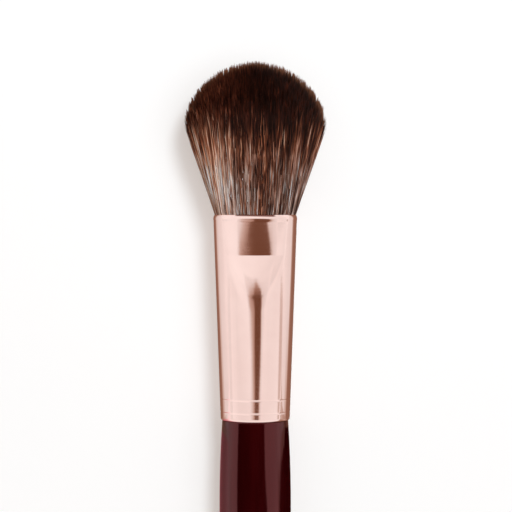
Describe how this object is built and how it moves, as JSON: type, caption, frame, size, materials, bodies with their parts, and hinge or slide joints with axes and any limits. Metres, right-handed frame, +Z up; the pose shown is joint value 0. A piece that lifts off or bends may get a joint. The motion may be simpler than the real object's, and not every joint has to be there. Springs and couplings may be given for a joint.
{
  "type": "blush brush",
  "caption": "Blush brush with a domed bundle of brown hair, a polished rose gold ferrule with a pressed mouth, and a dark burgundy lacquered handle.",
  "frame": {"origin": "bottom centre of the bounding box of the brush as it lies on a table", "axes": "+Y from the tail of the handle to the hair, +Z up off the table, +X across the brush"},
  "size_m": [0.0284, 0.18, 0.0176],
  "materials": {
    "lacquered_wood": "clear gloss lacquer over dark burgundy",
    "rose_gold": "polished and anodised rose gold",
    "hair": "fine synthetic hair, dark brown tips over brown and grey lengths",
    "resin": "cast clear amber",
    "glue": "dried glue"
  },
  "bodies": {
    "root": {"handle": "lacquered_wood", "ferrule": "rose_gold", "hair_bundle": "hair", "root_epoxy": "resin", "handle_glue": "glue"}
  },
  "joints": []
}
